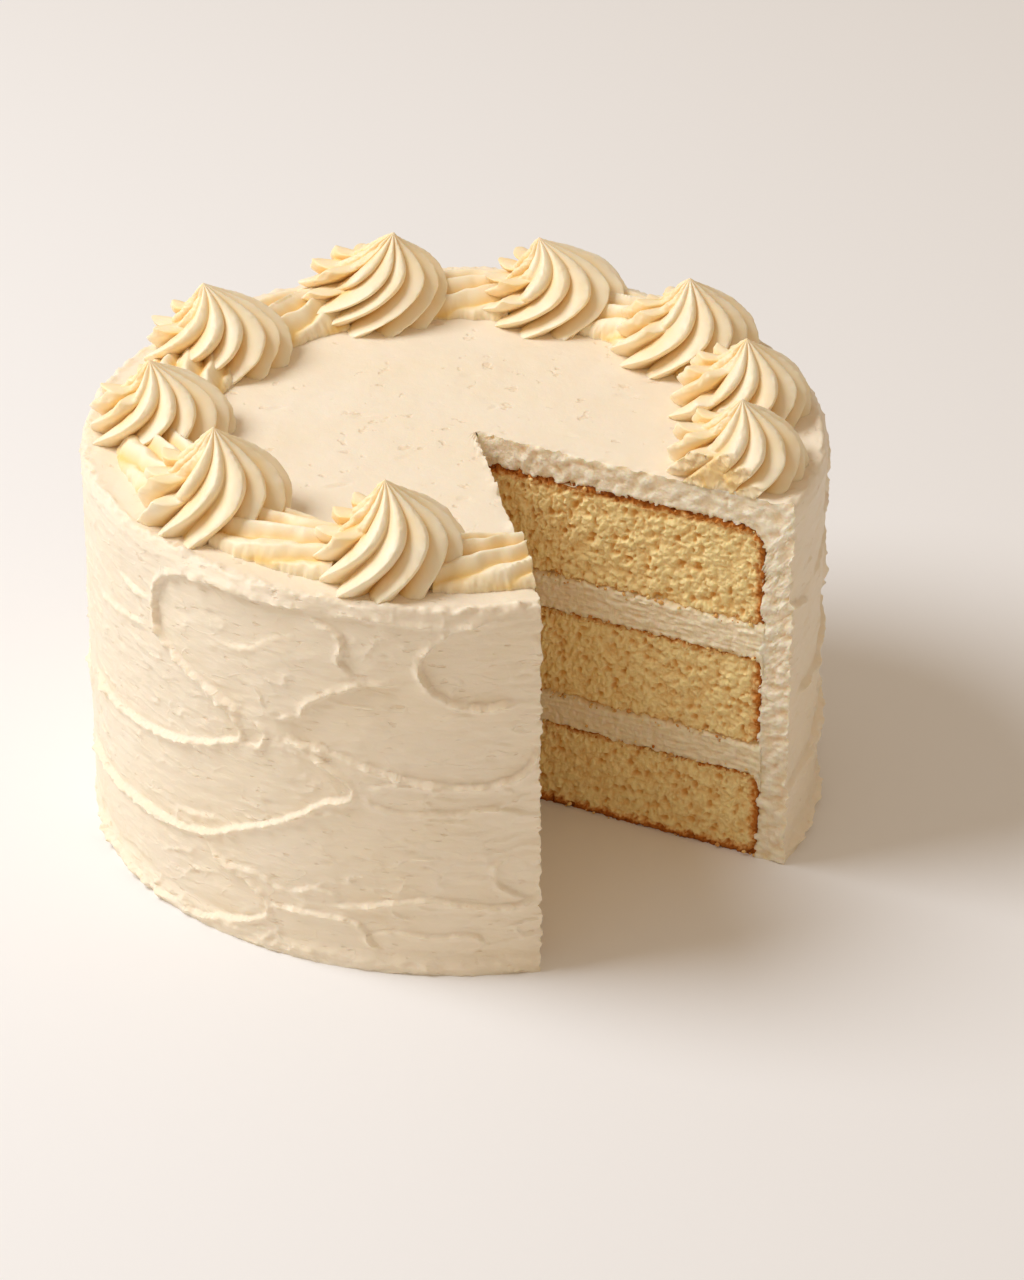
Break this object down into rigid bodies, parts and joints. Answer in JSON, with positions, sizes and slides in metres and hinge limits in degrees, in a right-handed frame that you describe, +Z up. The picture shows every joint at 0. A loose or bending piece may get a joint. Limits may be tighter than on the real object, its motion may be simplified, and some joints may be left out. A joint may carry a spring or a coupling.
{
  "type": "layer cake",
  "caption": "Round sponge layer cake with a cut wedge missing, cream fillings, a knife-smoothed cream coat and piped star rosettes and bands round the top edge.",
  "frame": {"origin": "centre of the cake's round underside, on the surface it stands on", "axes": "+Z up through the layers; the missing wedge opens towards -Y and +X, between polar angles -77 and -27 degrees at the rim"},
  "size_m": [0.212, 0.212, 0.1435],
  "materials": {
    "coat_cream": "satin",
    "piped_cream": "satin",
    "filling_cream": "satin",
    "sponge": "matte"
  },
  "bodies": {
    "root": {"sponge_bottom": "sponge", "sponge_middle": "sponge", "sponge_top": "sponge", "filling_lower": "filling_cream", "filling_upper": "filling_cream", "frosting_coat": "coat_cream", "rosette_1": "piped_cream", "rosette_2": "piped_cream", "rosette_3": "piped_cream", "rosette_4": "piped_cream", "rosette_5": "piped_cream", "rosette_6": "piped_cream", "rosette_7": "piped_cream", "rosette_8": "piped_cream", "rosette_9": "piped_cream", "piped_band_1": "piped_cream", "piped_band_2": "piped_cream", "piped_band_3": "piped_cream", "piped_band_4": "piped_cream", "piped_band_5": "piped_cream", "piped_band_6": "piped_cream", "piped_band_7": "piped_cream"}
  },
  "joints": []
}
